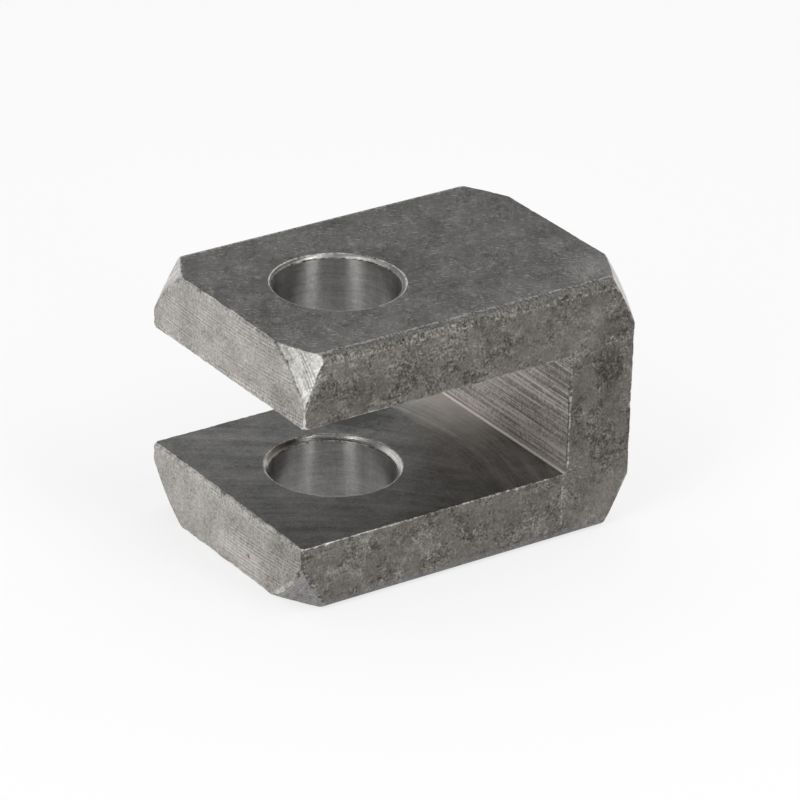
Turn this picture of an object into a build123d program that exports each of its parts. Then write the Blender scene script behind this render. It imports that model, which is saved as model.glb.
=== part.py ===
from build123d import *
from math import hypot, radians, tan
import os

# A forked clevis end, cut from one length of square drawn steel bar.
# A tie rod is welded to its plain end. A pin through the fork holds an eye plate in the slot.
# Millimetres. The origin is on the pin axis, halfway between the two ears.
# +X runs along the rod's axis towards the plain end, and +Z runs along the pin.

# The bar
bar_size = 30.0          # across the flats of the square bar
edge_radius = 1.1        # rounding that drawing leaves on the bar's four long edges

# The slot, milled in from the tips
slot_width = 14.0        # gap between the ears, which takes the eye plate
slot_depth = 34.4        # from the tips to the slot's flat bottom
slot_root_radius = 0.4   # corner of the cutter, left where the ears meet the web
web_thickness = 8.4      # solid metal behind the slot, which carries the rod's pull

# The pin bore
bore_diameter = 14.0     # takes a pin of the same nominal size
bore_from_tips = 13.8    # pin axis to the tips
outer_countersink = 0.4  # broken edge at the bore's two outer mouths
inner_countersink = 0.6  # the same at the two mouths inside the slot

# The turned trim on the bar's corners, at both ends
corner_trim = 3.25       # how far the cone cuts into a long edge, square to the rod's axis
trim_angle = 41.0        # between the end face and the cone, in degrees

# Places along the rod's axis
tip_x = -bore_from_tips
web_x = tip_x + slot_depth
plain_end_x = web_x + web_thickness
length = plain_end_x - tip_x

# Places across it
half_bar = bar_size / 2
half_slot = slot_width / 2
bore_radius = bore_diameter / 2
corner_reach = hypot(half_bar - edge_radius, half_bar - edge_radius) + edge_radius
past = 2.0               # how far a cutter runs out past the metal


def square_bar():
    """The drawn bar, cut to length, with its rounded long edges."""
    section = Plane.YZ * RectangleRounded(bar_size, bar_size, edge_radius)
    return Pos(tip_x, 0, 0) * extrude(section, length, dir=(1, 0, 0))


def turned_envelope():
    """What the lathe leaves: a round blank with a cone at each end, which only the corners reach."""
    face_radius = corner_reach - corner_trim
    blank_radius = corner_reach + past
    cone_length = (blank_radius - face_radius) * tan(radians(trim_angle))
    outline = Polyline(
        (tip_x, 0),
        (tip_x, face_radius),
        (tip_x + cone_length, blank_radius),
        (plain_end_x - cone_length, blank_radius),
        (plain_end_x, face_radius),
        (plain_end_x, 0),
        close=True,
    )
    return revolve(make_face(outline), Axis.X)


def slot_cutter():
    """The slot, open at the tips and on both sides, with its two root corners rounded."""
    bottom = Box(
        slot_depth + past,
        bar_size + 2 * past,
        slot_width,
        align=(Align.MAX, Align.CENTER, Align.CENTER),
    )
    roots = bottom.faces().sort_by(Axis.X)[-1].edges().filter_by(Axis.Y)
    return Pos(web_x, 0, 0) * fillet(roots, slot_root_radius)


def bore_cutter():
    """The hole through the upper ear, with both of its mouths countersunk."""
    outline = Polyline(
        (0, half_slot - past),
        (bore_radius + inner_countersink + past, half_slot - past),
        (bore_radius, half_slot + inner_countersink),
        (bore_radius, half_bar - outer_countersink),
        (bore_radius + outer_countersink + past, half_bar + past),
        (0, half_bar + past),
        close=True,
    )
    return revolve(make_face(Plane.XZ * outline), Axis.Z)


def clevis():
    """The whole fork, as it comes off the machines."""
    body = square_bar() & turned_envelope()
    body -= slot_cutter()
    upper_bore = bore_cutter()
    body -= upper_bore
    body -= mirror(upper_bore, Plane.XY)
    return body


def main():
    os.makedirs("parts", exist_ok=True)
    body = clevis()
    export_step(body, "parts/clevis.step")
    box = body.bounding_box()
    print("clevis: volume", round(body.volume, 1), "mm3, box", box.min, box.max)


main()
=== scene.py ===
# %% [markdown]
# A forked clevis end for a tension rod, cut from one length of square steel bar.
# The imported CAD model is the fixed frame. It gives the place and size of everything here.
# Its own mesh could carry the finishes, but its edges are perfectly sharp. So the piece is modelled
# again with mesh operators, with the small things that a steel part gets in the works:
# worn edges, tool marks, tumbling marks and the rough corners of a drawn bar.

from math import ceil, cos, hypot, pi, radians, sin

import bmesh
import bpy
from mathutils import Matrix, Quaternion, Vector, kdtree, noise


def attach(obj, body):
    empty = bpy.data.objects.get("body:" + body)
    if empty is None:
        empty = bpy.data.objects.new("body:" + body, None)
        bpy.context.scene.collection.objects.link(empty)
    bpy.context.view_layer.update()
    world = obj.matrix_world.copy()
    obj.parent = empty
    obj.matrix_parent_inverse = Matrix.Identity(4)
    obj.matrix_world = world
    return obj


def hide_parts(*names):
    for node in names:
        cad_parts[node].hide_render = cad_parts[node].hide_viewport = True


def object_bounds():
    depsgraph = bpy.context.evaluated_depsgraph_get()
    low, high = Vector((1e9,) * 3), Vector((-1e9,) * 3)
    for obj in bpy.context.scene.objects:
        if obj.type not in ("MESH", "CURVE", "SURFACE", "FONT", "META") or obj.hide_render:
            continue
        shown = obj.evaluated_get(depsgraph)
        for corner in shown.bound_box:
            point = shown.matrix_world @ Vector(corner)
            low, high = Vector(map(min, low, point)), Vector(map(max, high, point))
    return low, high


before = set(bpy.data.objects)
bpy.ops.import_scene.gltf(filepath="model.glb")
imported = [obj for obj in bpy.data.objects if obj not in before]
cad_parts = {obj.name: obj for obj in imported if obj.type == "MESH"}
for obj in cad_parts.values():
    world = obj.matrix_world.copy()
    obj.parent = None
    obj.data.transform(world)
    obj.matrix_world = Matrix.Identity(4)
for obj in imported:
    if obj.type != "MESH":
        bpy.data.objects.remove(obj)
cad_low, cad_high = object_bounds()
print("CAD box in metres:", [round(value, 5) for value in (*cad_low, *cad_high)])

# %% [markdown]
# The bar is 30 mm square. On the real part it is drawn steel, and the die leaves its four long edges rounded.
# A rounded square could be extruded to length. A cube is scaled instead, because its long edges can then
# be bevelled with one number, the die's own radius.
# The modelling is done in millimetres, where the numbers are those of the drawing.
# The mesh is brought down to metres once, when its shape is finished.

# %% Square bar with rounded long edges
BAR_HALF = 15.0
TIP_X = -13.8
ROOT_X = 20.6
END_X = 29.0
LONG_EDGE_RADIUS = 1.1


def is_long_edge(edge):
    along = edge.verts[1].co - edge.verts[0].co
    return abs(along.x) > 1.0


def round_edges(mesh, edges, radius, segments, **choices):
    return bmesh.ops.bevel(
        mesh,
        geom=edges,
        offset=radius,
        segments=segments,
        profile=0.5,
        affect="EDGES",
        material=-1,
        **choices,
    )


bar = bmesh.new()
bmesh.ops.create_cube(bar, size=1.0)
bmesh.ops.scale(bar, vec=(END_X - TIP_X, 2 * BAR_HALF, 2 * BAR_HALF), verts=bar.verts)
bmesh.ops.translate(bar, vec=((END_X + TIP_X) / 2, 0, 0), verts=bar.verts)
round_edges(bar, [edge for edge in bar.edges if is_long_edge(edge)], LONG_EDGE_RADIUS, segments=6)
print("Bar faces:", len(bar.faces))

# %% [markdown]
# Both ends are turned in a lathe, which cuts the square's corners back to a cone.
# A cone on a square bar leaves a curved patch at each corner, pointed where it runs out on the flats.
# A spun cone could be cut in with a Boolean, but that leaves thin slivers beside the points.
# So each patch is cut by a fan of planes that touch the cone, a few degrees apart.
# This gives clean facets along the cone, and leaves the flats as single faces.
# The bar sat a little crooked in the chuck, so the patches at the tips differ slightly in slope.

# %% Turned corners
FACE_RADIUS = 17.507
CONE_ANGLE = 41
CORNER_AT = 45
FAN_SIDE_STEPS = 5
FAN_ANGLE = 2.6
SLIVER = 0.12
SAME_PLACE = 1e-5


def everything_in(mesh):
    return mesh.verts[:] + mesh.edges[:] + mesh.faces[:]


def slice_off(mesh, geometry, point, outward):
    cut = bmesh.ops.bisect_plane(
        mesh, geom=geometry, dist=SAME_PLACE, plane_co=point, plane_no=outward, clear_outer=True
    )
    rim = [part for part in cut["geom_cut"] if isinstance(part, bmesh.types.BMEdge)]
    if rim:
        bmesh.ops.edgeloop_fill(mesh, edges=rim)


def trim_corner(end_x, outward, y_side, z_side, angle):
    slope = radians(angle)
    for step in range(-FAN_SIDE_STEPS, FAN_SIDE_STEPS + 1):
        around = radians(CORNER_AT + step * FAN_ANGLE)
        radial = Vector((0, y_side * cos(around), z_side * sin(around)))
        point = Vector((end_x, 0, 0)) + radial * FACE_RADIUS
        normal = radial * sin(slope) + Vector((outward * cos(slope), 0, 0))
        slice_off(bar, everything_in(bar), point, normal)


for y_side, z_side, tip_angle in ((-1, 1, 37), (1, 1, 43), (-1, -1, 43), (1, -1, 41)):
    trim_corner(TIP_X, -1, y_side, z_side, tip_angle)
    trim_corner(END_X, 1, y_side, z_side, CONE_ANGLE)
bmesh.ops.remove_doubles(bar, verts=bar.verts, dist=SLIVER)
bmesh.ops.recalc_face_normals(bar, faces=bar.faces)
print("Faces with the turned corners:", len(bar.faces))

# %% [markdown]
# The slot is milled in from the tips, and the pin's bore is drilled through both ears.
# The bar's faces could be inset and pushed in, but the slot and the bore cross each other.
# So both are cut with a Boolean, and each tool has the shape of what the real cutter takes away.
# The slot's tool is a box with a small radius at its root, as worn cutter teeth leave it.

# %% Tool that cuts the slot
SLOT_HALF = 7.0
SLOT_ROOT_RADIUS = 0.4
CLEAR = 3.0
TOLERANCE = 0.01


def object_from(mesh_data, name):
    mesh = bpy.data.meshes.new(name)
    mesh_data.to_mesh(mesh)
    mesh_data.free()
    made = bpy.data.objects.new(name, mesh)
    bpy.context.scene.collection.objects.link(made)
    return made


def is_root_edge(edge):
    first, second = [vertex.co for vertex in edge.verts]
    return min(first.x, second.x) > ROOT_X - TOLERANCE and first.z == second.z


slot_tool = bmesh.new()
slot_length = ROOT_X - TIP_X + CLEAR
bmesh.ops.create_cube(slot_tool, size=1.0)
bmesh.ops.scale(slot_tool, vec=(slot_length, 2 * BAR_HALF + CLEAR, 2 * SLOT_HALF), verts=slot_tool.verts)
bmesh.ops.translate(slot_tool, vec=(ROOT_X - slot_length / 2, 0, 0), verts=slot_tool.verts)
root_edges = [edge for edge in slot_tool.edges if is_root_edge(edge)]
round_edges(slot_tool, root_edges, SLOT_ROOT_RADIUS, segments=4)
slot_cutter = object_from(slot_tool, "slot_cutter")
print("Slot tool faces:", len(slot_cutter.data.polygons))

# %% [markdown]
# The bore has a small countersink at each of its four mouths, two on the outside and two in the slot.
# It could be a cylinder with its rims bevelled, but then the inner and outer countersinks need a step each.
# Here half of the outline is drawn once, spun about the pin's axis and mirrored to the lower ear.
# The spin also leaves a disc at mid height, inside the tool, which is taken out.
# A countersink that is held by hand wanders, so the ring on the top sits a tenth of a millimetre aside.

# %% Tool that cuts the bore
BORE_RADIUS = 7.0
OUTER_COUNTERSINK = 0.4
INNER_COUNTERSINK = 0.6
BORE_STEPS = 128
UPPER_RING_ASIDE = (0.1, -0.07, 0)

bore_tool = bmesh.new()
half_profile = [
    (0, 0),
    (BORE_RADIUS + INNER_COUNTERSINK, 0),
    (BORE_RADIUS + INNER_COUNTERSINK, SLOT_HALF),
    (BORE_RADIUS, SLOT_HALF + INNER_COUNTERSINK),
    (BORE_RADIUS, BAR_HALF - OUTER_COUNTERSINK),
    (BORE_RADIUS + OUTER_COUNTERSINK, BAR_HALF),
    (BORE_RADIUS + OUTER_COUNTERSINK, BAR_HALF + CLEAR),
    (0, BAR_HALF + CLEAR),
]
line = [bore_tool.verts.new((radius, 0, height)) for radius, height in half_profile]
profile = [bore_tool.edges.new(pair) for pair in zip(line, line[1:])]
bmesh.ops.spin(
    bore_tool,
    geom=line + profile,
    cent=(0, 0, 0),
    axis=(0, 0, 1),
    angle=2 * pi,
    steps=BORE_STEPS,
    use_merge=True,
)
bmesh.ops.mirror(bore_tool, geom=everything_in(bore_tool), axis="Z")
bmesh.ops.remove_doubles(bore_tool, verts=bore_tool.verts, dist=1e-4)
flat_inside = [face for face in bore_tool.faces if face.calc_center_median().z == 0]
bmesh.ops.delete(bore_tool, geom=flat_inside, context="FACES")
bmesh.ops.recalc_face_normals(bore_tool, faces=bore_tool.faces)
upper_ring = [vertex for vertex in bore_tool.verts if vertex.co.z > BAR_HALF - TOLERANCE]
bmesh.ops.translate(bore_tool, vec=UPPER_RING_ASIDE, verts=upper_ring)
bore_cutter = object_from(bore_tool, "bore_cutter")
print("Bore tool faces:", len(bore_cutter.data.polygons))

# %% [markdown]
# The fork takes its shape here: the slot parts the two ears, and the bore goes through both.
# Boolean modifiers could stay live, but the edges are worn after the cuts, and that needs a plain mesh.
# So the result of the modifiers is read once, and then the modifiers and both tools are taken away.
# The exact solver is used, because it keeps the flats as single clean faces.

# %% Cut the slot and the bore
clevis = object_from(bar, "clevis_worn")
for cutter in (slot_cutter, bore_cutter):
    cut = clevis.modifiers.new(cutter.name, "BOOLEAN")
    cut.operation = "DIFFERENCE"
    cut.solver = "EXACT"
    cut.object = cutter
graph = bpy.context.evaluated_depsgraph_get()
clevis.data = bpy.data.meshes.new_from_object(clevis.evaluated_get(graph))
clevis.modifiers.clear()
for cutter in (slot_cutter, bore_cutter):
    bpy.data.objects.remove(cutter)
print("Faces after the cuts:", len(clevis.data.polygons))

# %% [markdown]
# No edge of a real steel part is perfectly sharp. Tumbling rounds it, and knocks leave small nicks.
# The thin points suffer first: the four corners where a tip, a side and a cheek of the slot meet.
# A bevel would round them like any corner. A knock leaves a small flat, so each is sliced off with a plane.
# A cut round the middle of the web comes first. It gives each ear its own faces, so that slicing the one
# leaves the other alone.

# %% Knock off the thin points
KNOCK_LENGTH = 0.5

worn = bmesh.new()
worn.from_mesh(clevis.data)
bmesh.ops.recalc_face_normals(worn, faces=worn.faces)


def knock_off(corner, outward, amount):
    near = [face for face in worn.faces if face.calc_center_median().z * corner.z > 0]
    geometry = list(dict.fromkeys(part for face in near for part in (face, *face.edges, *face.verts)))
    slice_off(worn, geometry, corner - outward * (amount / outward.length_squared), outward)


bmesh.ops.bisect_plane(
    worn, geom=everything_in(worn), dist=SAME_PLACE, plane_co=(0, 0, 0), plane_no=(0, 0, 1)
)
knocked = []
for y_side in (-1, 1):
    for z_side in (-1, 1):
        corner = Vector((TIP_X, y_side * BAR_HALF, z_side * SLOT_HALF))
        knock_off(corner, Vector((-1, y_side, -z_side)), KNOCK_LENGTH)
        knocked.append(corner)
        knocked.append(Vector((ROOT_X, corner.y, corner.z)))
bmesh.ops.recalc_face_normals(worn, faces=worn.faces)
print("Faces with the points knocked off:", len(worn.faces))

# %% [markdown]
# Wear changes along an edge, so each sharp edge needs points that can move one by one.
# Subdividing the whole mesh would give them, but with thousands of faces that the flats don't need.
# So only the sharp edges are divided, into lengths of about a quarter of a millimetre.
# The shortest edges at the points of the turned patches stay whole, so that the bevel doesn't fold there.

# %% Find and divide the sharp edges
SHARP = radians(30)
LENGTH_STEP = 0.28
SHORT_EDGE = 1.2


def sharp_among(edges):
    return [edge for edge in edges if edge.calc_face_angle(0) > SHARP]


def is_run_out(vertex):
    return len(sharp_among(vertex.link_edges)) > 2 and abs(vertex.co.z) > SLOT_HALF + 1


run_outs = [vertex for vertex in worn.verts if is_run_out(vertex)]
kept_whole = {edge for vertex in run_outs for edge in vertex.link_edges if edge.calc_length() < SHORT_EDGE}
run_out_places = [vertex.co.copy() for vertex in run_outs] + knocked
by_cuts = {}
for edge in sharp_among(worn.edges):
    if edge not in kept_whole:
        by_cuts.setdefault(ceil(edge.calc_length() / LENGTH_STEP) - 1, []).append(edge)
for cuts, edges in by_cuts.items():
    if cuts > 0:
        bmesh.ops.bisect_edges(worn, edges=edges, cuts=cuts)
print("Corners where worn edges meet:", len(run_outs), "short edges kept whole:", len(kept_whole))
print("Sharp edges after dividing:", len(sharp_among(worn.edges)))

# %% [markdown]
# Tumbling rounds every edge at once. A Bevel modifier could do the same, but its points couldn't be moved
# afterwards. The bevel operator rounds them in the mesh, by a little less than a tenth of a millimetre,
# and gives back the new faces. Before that, the places along the sharp edges go into a KD tree,
# which finds the nearest of many places quickly. The next step measures the wear from them. They are
# sorted first, so that where two are equally near, the same one is found at each run.

# %% Round the edges
WEAR_WIDTH = 0.085

sharp_places = sorted({tuple(vertex.co) for edge in sharp_among(worn.edges) for vertex in edge.verts})
sharp_tree = kdtree.KDTree(len(sharp_places))
for number, place in enumerate(sharp_places):
    sharp_tree.insert(place, number)
sharp_tree.balance()
rounded = round_edges(
    worn,
    sharp_among(worn.edges),
    WEAR_WIDTH,
    segments=2,
    offset_type="OFFSET",
    clamp_overlap=False,
    loop_slide=True,
)
band_points = list(dict.fromkeys(vertex for face in rounded["faces"] for vertex in face.verts))
print("Points on the worn edges:", len(band_points))

# %% [markdown]
# The tips and the outer edges take most of the knocks, and the mouths of the bore take the fewest.
# Sculpting could show this, but not in the same way at each run. So the wear at a place is worked out
# from how exposed it is and from three sizes of noise. A fourth noise, cut at a high level,
# gives a few nicks, and one clear knock sits on the top edge of the upper tip.

# %% How much an edge is worn
TIP_KNOCK = Vector((TIP_X, -0.35, BAR_HALF))
TIP_KNOCK_REACH = 0.6
OTHER_PLACE = Vector((31, 7, 3))
TIP_CORNER_WEAR = 4.2
TIP_WEAR = 3.0
ROOT_END_WEAR = 2.4
SIDE_WEAR = 2.0
INNER_WEAR = 1.0
LEAST_SHARE = 0.45


def exposed(place):
    at_tip = place.x < TIP_X + TOLERANCE
    on_side = abs(place.y) > BAR_HALF - TOLERANCE
    beside_root = on_side and abs(place.x - ROOT_X) < TOLERANCE
    if at_tip and on_side:
        return TIP_CORNER_WEAR
    if beside_root:
        return ROOT_END_WEAR
    if at_tip:
        return TIP_WEAR
    return SIDE_WEAR if on_side else INNER_WEAR


def wear_at(place):
    steady = 0.5 * noise.noise(place * 0.45) + 0.3 * noise.noise(place * 1.1) + 0.5 * noise.noise(place * 2.7)
    nick = max(0.0, noise.noise(place * 1.3 + OTHER_PLACE) - 0.38) * 5.0
    knock = 3.0 * max(0.0, 1.0 - (place - TIP_KNOCK).length / TIP_KNOCK_REACH)
    return exposed(place) * max(LEAST_SHARE, 1.0 + steady) + nick + knock


print("Wear at the knock, in widths of the bevel:", round(wear_at(TIP_KNOCK), 2))

# %% [markdown]
# Every point of the bevel now moves away from where the sharp edge was, or closer to it, by the wear there.
# The bevel operator could be called again for each width, but the bands would then end in steps.
# The outer points slide along the flats that they lie on, so nothing bulges or leaves the CAD box.
# Beside the corners, where bevels meet, the width is held back so that they don't cross.

# %% Vary the width of the worn edges
BORE_LIMIT = 1.4
CORNER_LIMIT = 1.5
WIDEST_LIMIT = 4.6


def most_wear(place):
    if abs(hypot(place.x, place.y) - BORE_RADIUS) < 1.0:
        return BORE_LIMIT
    nearest = min((place - point).length for point in run_out_places)
    return min(WIDEST_LIMIT, CORNER_LIMIT + 3.0 * max(0.0, nearest - 0.5))


widest = 0.0
for vertex in band_points:
    sharp_place = sharp_tree.find(vertex.co)[0]
    wear = min(wear_at(sharp_place), most_wear(sharp_place))
    vertex.co = sharp_place + (vertex.co - sharp_place) * wear
    widest = max(widest, WEAR_WIDTH * wear)
print("Widest worn edge:", round(widest, 2), "mm to each side")

# %% [markdown]
# Each kind of cut left its own surface, so each gets its own finish. One material could tell them apart
# with masks, but it would be long and slow. So the faces are sorted by where they are and which way
# they point: the drawn skin of the bar, the sawn tips and faced end, the turned corners,
# the milled cheeks and root of the slot, the bored wall, its countersinks, and the worn edges.

# %% Sort the faces by how they were cut
FINISHES = [
    "drawn_skin",
    "sawn_end",
    "turned_corner",
    "milled_cheek",
    "milled_root",
    "bored_wall",
    "countersink",
    "worn_edge",
]


def finish_of(face):
    centre = face.calc_center_median()
    normal = face.normal
    inside_slot = abs(centre.z) < SLOT_HALF + TOLERANCE and abs(centre.y) < BAR_HALF - TOLERANCE
    if hypot(centre.x, centre.y) < BORE_RADIUS + INNER_COUNTERSINK and abs(normal.z) < 0.9:
        return "countersink" if abs(normal.z) > 0.4 else "bored_wall"
    if inside_slot and abs(normal.z) > 0.99:
        return "milled_cheek"
    if inside_slot and abs(centre.x - ROOT_X) < SLOT_ROOT_RADIUS + TOLERANCE:
        return "milled_root"
    if abs(normal.x) > 0.99:
        return "sawn_end"
    return "turned_corner" if abs(normal.x) > 0.3 else "drawn_skin"


worn.normal_update()
for face in worn.faces:
    face.material_index = FINISHES.index(finish_of(face))
for face in rounded["faces"]:
    face.material_index = FINISHES.index("worn_edge")
for number, name in enumerate(FINISHES):
    print(name, sum(face.material_index == number for face in worn.faces))

# %% [markdown]
# The frame is in metres, so the finished mesh is scaled once. The object could be scaled instead,
# but patterns on Object coordinates would then change size with it.
# With smooth shading alone the flats look slightly bent beside their narrow worn edges. The Weighted
# Normal modifier lets the larger faces decide the shading, so that they look flat.
# The piece then rides on the CAD model's one body and stands for its one node.

# %% Bring the piece down to metres
MILLIMETRE = 0.001

for face in worn.faces:
    face.smooth = True
bmesh.ops.scale(worn, vec=(MILLIMETRE, MILLIMETRE, MILLIMETRE), verts=worn.verts)
worn.to_mesh(clevis.data)
worn.free()
even_shading = clevis.modifiers.new("even_shading", "WEIGHTED_NORMAL")
even_shading.weight = 100
even_shading.keep_sharp = False
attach(clevis, "root")
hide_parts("clevis")
print("Triangles:", sum(len(polygon.vertices) - 2 for polygon in clevis.data.polygons))

# %% [markdown]
# The finishes are built from shader nodes. They could be placed by hand in the editor, but there are
# hundreds of them. Short helpers place a node, feed its sockets and give back its output instead,
# so that each finish below reads as a list of effects. These ones do sums.
# Patterns read Object coordinates, turned from metres into millimetres, so sizes in them are real sizes.

# %% Helpers for sums
def feed(tree, socket, source):
    if isinstance(source, bpy.types.NodeSocket):
        tree.links.new(source, socket)
    else:
        socket.default_value = source


def maths(tree, operation, *sources, clamp=False):
    made = tree.nodes.new("ShaderNodeMath")
    made.operation = operation
    made.use_clamp = clamp
    for socket, source in zip(made.inputs, sources):
        feed(tree, socket, source)
    return made.outputs[0]


def total(tree, *sources):
    result = sources[0]
    for source in sources[1:]:
        result = maths(tree, "ADD", result, source)
    return result


def product(tree, *sources):
    result = sources[0]
    for source in sources[1:]:
        result = maths(tree, "MULTIPLY", result, source)
    return result


def minus(tree, first, second):
    return maths(tree, "SUBTRACT", first, second)


def distance_from(tree, value, middle):
    return maths(tree, "ABSOLUTE", minus(tree, value, middle))


print("Helpers for sums:", [helper.__name__ for helper in (maths, total, product, minus, distance_from)])

# %% [markdown]
# A place on the piece is a vector. It has to be built, taken apart, moved and stretched,
# and two ways of measuring the same place have to be blended where one pattern gives way to another.

# %% Helpers for places
def vector_maths(tree, operation, *sources):
    made = tree.nodes.new("ShaderNodeVectorMath")
    made.operation = operation
    for socket, source in zip(made.inputs, sources):
        feed(tree, socket, source)
    return made.outputs["Value" if operation in ("LENGTH", "DOT_PRODUCT") else "Vector"]


def vector(tree, x=0.0, y=0.0, z=0.0):
    made = tree.nodes.new("ShaderNodeCombineXYZ")
    for socket, source in zip(made.inputs, (x, y, z)):
        feed(tree, socket, source)
    return made.outputs[0]


def parts(tree, source):
    made = tree.nodes.new("ShaderNodeSeparateXYZ")
    feed(tree, made.inputs[0], source)
    return made.outputs[0], made.outputs[1], made.outputs[2]


def vector_mix(tree, share, first, second):
    made = tree.nodes.new("ShaderNodeMix")
    made.data_type = "VECTOR"
    feed(tree, made.inputs[0], share)
    feed(tree, made.inputs[4], first)
    feed(tree, made.inputs[5], second)
    return made.outputs[1]


print("Helpers for places:", [helper.__name__ for helper in (vector_maths, vector, parts, vector_mix)])

# %% [markdown]
# Marks on metal fade in and out, and no two places are alike.
# ease fades from one output to another while a value goes from low to high. A Color Ramp could do that too,
# but its ends can't be fed by other nodes. cloud is a noise of a given scale, detail and roughness.
# swing centres such a noise on zero and sets how far it swings. mix_colour blends two colours.

# %% Helpers for fades and colours
def ease(tree, value, low, high, out_low=0.0, out_high=1.0):
    made = tree.nodes.new("ShaderNodeMapRange")
    made.interpolation_type = "SMOOTHSTEP"
    for socket, source in zip(made.inputs, (value, low, high, out_low, out_high)):
        feed(tree, socket, source)
    return made.outputs[0]


def cloud(tree, place, scale, detail=2.0, roughness=0.5):
    made = tree.nodes.new("ShaderNodeTexNoise")
    for label, source in (("Vector", place), ("Scale", scale), ("Detail", detail), ("Roughness", roughness)):
        feed(tree, made.inputs[label], source)
    return made.outputs[0]


def swing(tree, value, amount):
    return product(tree, minus(tree, value, 0.5), amount)


def mix_colour(tree, share, first, second):
    made = tree.nodes.new("ShaderNodeMix")
    made.data_type = "RGBA"
    feed(tree, made.inputs[0], share)
    for socket, colour in ((made.inputs[6], first), (made.inputs[7], second)):
        feed(tree, socket, (*colour, 1.0) if isinstance(colour, tuple) else colour)
    return made.outputs[2]


print("Helpers for fades and colours:", [helper.__name__ for helper in (ease, cloud, swing, mix_colour)])

# %% [markdown]
# Several finishes share an effect, such as tool lines or grain. Its nodes could be built again in each,
# but a node group is built once, and each finish places it with its own values.
# One helper makes a group with named inputs and outputs, and the other places it in a finish.

# %% Helpers for groups of nodes
def new_group(name, inputs, outputs):
    tree = bpy.data.node_groups.new(name, "ShaderNodeTree")
    for label, kind, value in inputs:
        socket = tree.interface.new_socket(label, in_out="INPUT", socket_type="NodeSocket" + kind)
        if value is not None:
            socket.default_value = value
    for label in outputs:
        tree.interface.new_socket(label, in_out="OUTPUT", socket_type="NodeSocketFloat")
    entry = tree.nodes.new("NodeGroupInput")
    leave = tree.nodes.new("NodeGroupOutput")
    return tree, entry.outputs, leave.inputs


def use_group(tree, group, **sources):
    made = tree.nodes.new("ShaderNodeGroup")
    made.node_tree = group
    for label, source in sources.items():
        feed(tree, made.inputs[label], source)
    return made.outputs


print("Helpers for groups:", [helper.__name__ for helper in (new_group, use_group)])

# %% [markdown]
# A milling cutter or a turning tool leaves lines side by side, a feed apart, each a little different.
# A Wave texture would draw them all alike. Here a sine gives the even feed,
# and a noise that is stretched along the lines gives the streaks.
# The group takes the distance across the lines and along them, so that it works on arcs and circles too.

# %% Tool lines
lines_group, given, result = new_group(
    "tool_lines",
    [
        ("Across", "Float", 0.0),
        ("Along", "Float", 0.0),
        ("Pitch", "Float", 0.2),
        ("Run", "Float", 8.0),
        ("Waver", "Float", 0.1),
        ("Even", "Float", 0.5),
        ("Streaks", "Float", 1.0),
    ],
    ["Tone", "Height"],
)
tree = lines_group
drift_place = vector(tree, maths(tree, "DIVIDE", given["Along"], 5.0), given["Across"])
drift = swing(tree, cloud(tree, drift_place, 1.0, 1.0), given["Waver"])
turns = maths(tree, "DIVIDE", total(tree, given["Across"], drift), given["Pitch"])
wave = maths(tree, "SINE", product(tree, turns, 2 * pi))
fade = ease(tree, cloud(tree, drift_place, 0.5, 2.0), 0.42, 0.64)
even = product(tree, wave, fade, given["Even"])
streak_place = vector(tree, turns, maths(tree, "DIVIDE", given["Along"], given["Run"]))
streaks = cloud(tree, streak_place, 1.0, 2.5, 0.6)
wide_place = vector_maths(tree, "MULTIPLY", streak_place, (0.22, 0.5, 1.0))
wide = cloud(tree, wide_place, 1.0, 2.0, 0.6)
tone = total(
    tree,
    product(tree, even, 0.5),
    swing(tree, streaks, given["Streaks"]),
    swing(tree, wide, given["Streaks"]),
)
feed(tree, result["Tone"], tone)
feed(tree, result["Height"], tone)
print("Nodes in the tool lines:", len(tree.nodes))

# %% [markdown]
# Parts that knock together leave short stray scratches, in every direction.
# They could be modelled as grooves, but they are far too many and too shallow.
# A Voronoi texture divides the surface into cells. Each cell has its own random colour, which turns
# one short line about the cell's centre, bends it, and decides how strong it is, or that there is none.

# %% Stray scratches
scratch_group, given, result = new_group(
    "stray_scratches",
    [
        ("Place", "Vector", None),
        ("Cell", "Float", 2.0),
        ("Width", "Float", 0.05),
        ("Share", "Float", 0.5),
    ],
    ["Mask"],
)
tree = scratch_group
per_cell = maths(tree, "DIVIDE", 1.0, given["Cell"])
in_cells = vector_maths(tree, "MULTIPLY", given["Place"], vector(tree, per_cell, per_cell, per_cell))
cells = tree.nodes.new("ShaderNodeTexVoronoi")
cells.voronoi_dimensions = "2D"
feed(tree, cells.inputs["Vector"], in_cells)
feed(tree, cells.inputs["Scale"], 1.0)
chance, spin, bend = parts(tree, cells.outputs["Color"])
rotate = tree.nodes.new("ShaderNodeVectorRotate")
rotate.rotation_type = "Z_AXIS"
feed(tree, rotate.inputs["Vector"], vector_maths(tree, "SUBTRACT", in_cells, cells.outputs["Position"]))
feed(tree, rotate.inputs["Angle"], product(tree, spin, 2 * pi))
along, aside = parts(tree, rotate.outputs[0])[:2]
curve = product(tree, product(tree, along, along), swing(tree, bend, 0.25))
from_line = maths(tree, "ABSOLUTE", total(tree, aside, curve))
line_mask = ease(tree, from_line, maths(tree, "DIVIDE", given["Width"], given["Cell"]), 0.0)
end_mask = ease(tree, maths(tree, "ABSOLUTE", along), 0.42, 0.18)
strength = maths(tree, "SUBTRACT", 1.0, maths(tree, "DIVIDE", chance, given["Share"]), clamp=True)
feed(tree, result["Mask"], product(tree, line_mask, end_mask, strength))
print("Nodes in the stray scratches:", len(tree.nodes))

# %% [markdown]
# Steel that has been tumbled with other parts has a mottled grain at every size, from pits to broad clouds,
# and under it many short rub marks that cross each other. One noise with much detail would be even all over.
# So the group adds three sizes of noise and three sizes of faint scratches. The strength of each is
# an input, and the smooth top and the rougher side can both use it.

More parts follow.
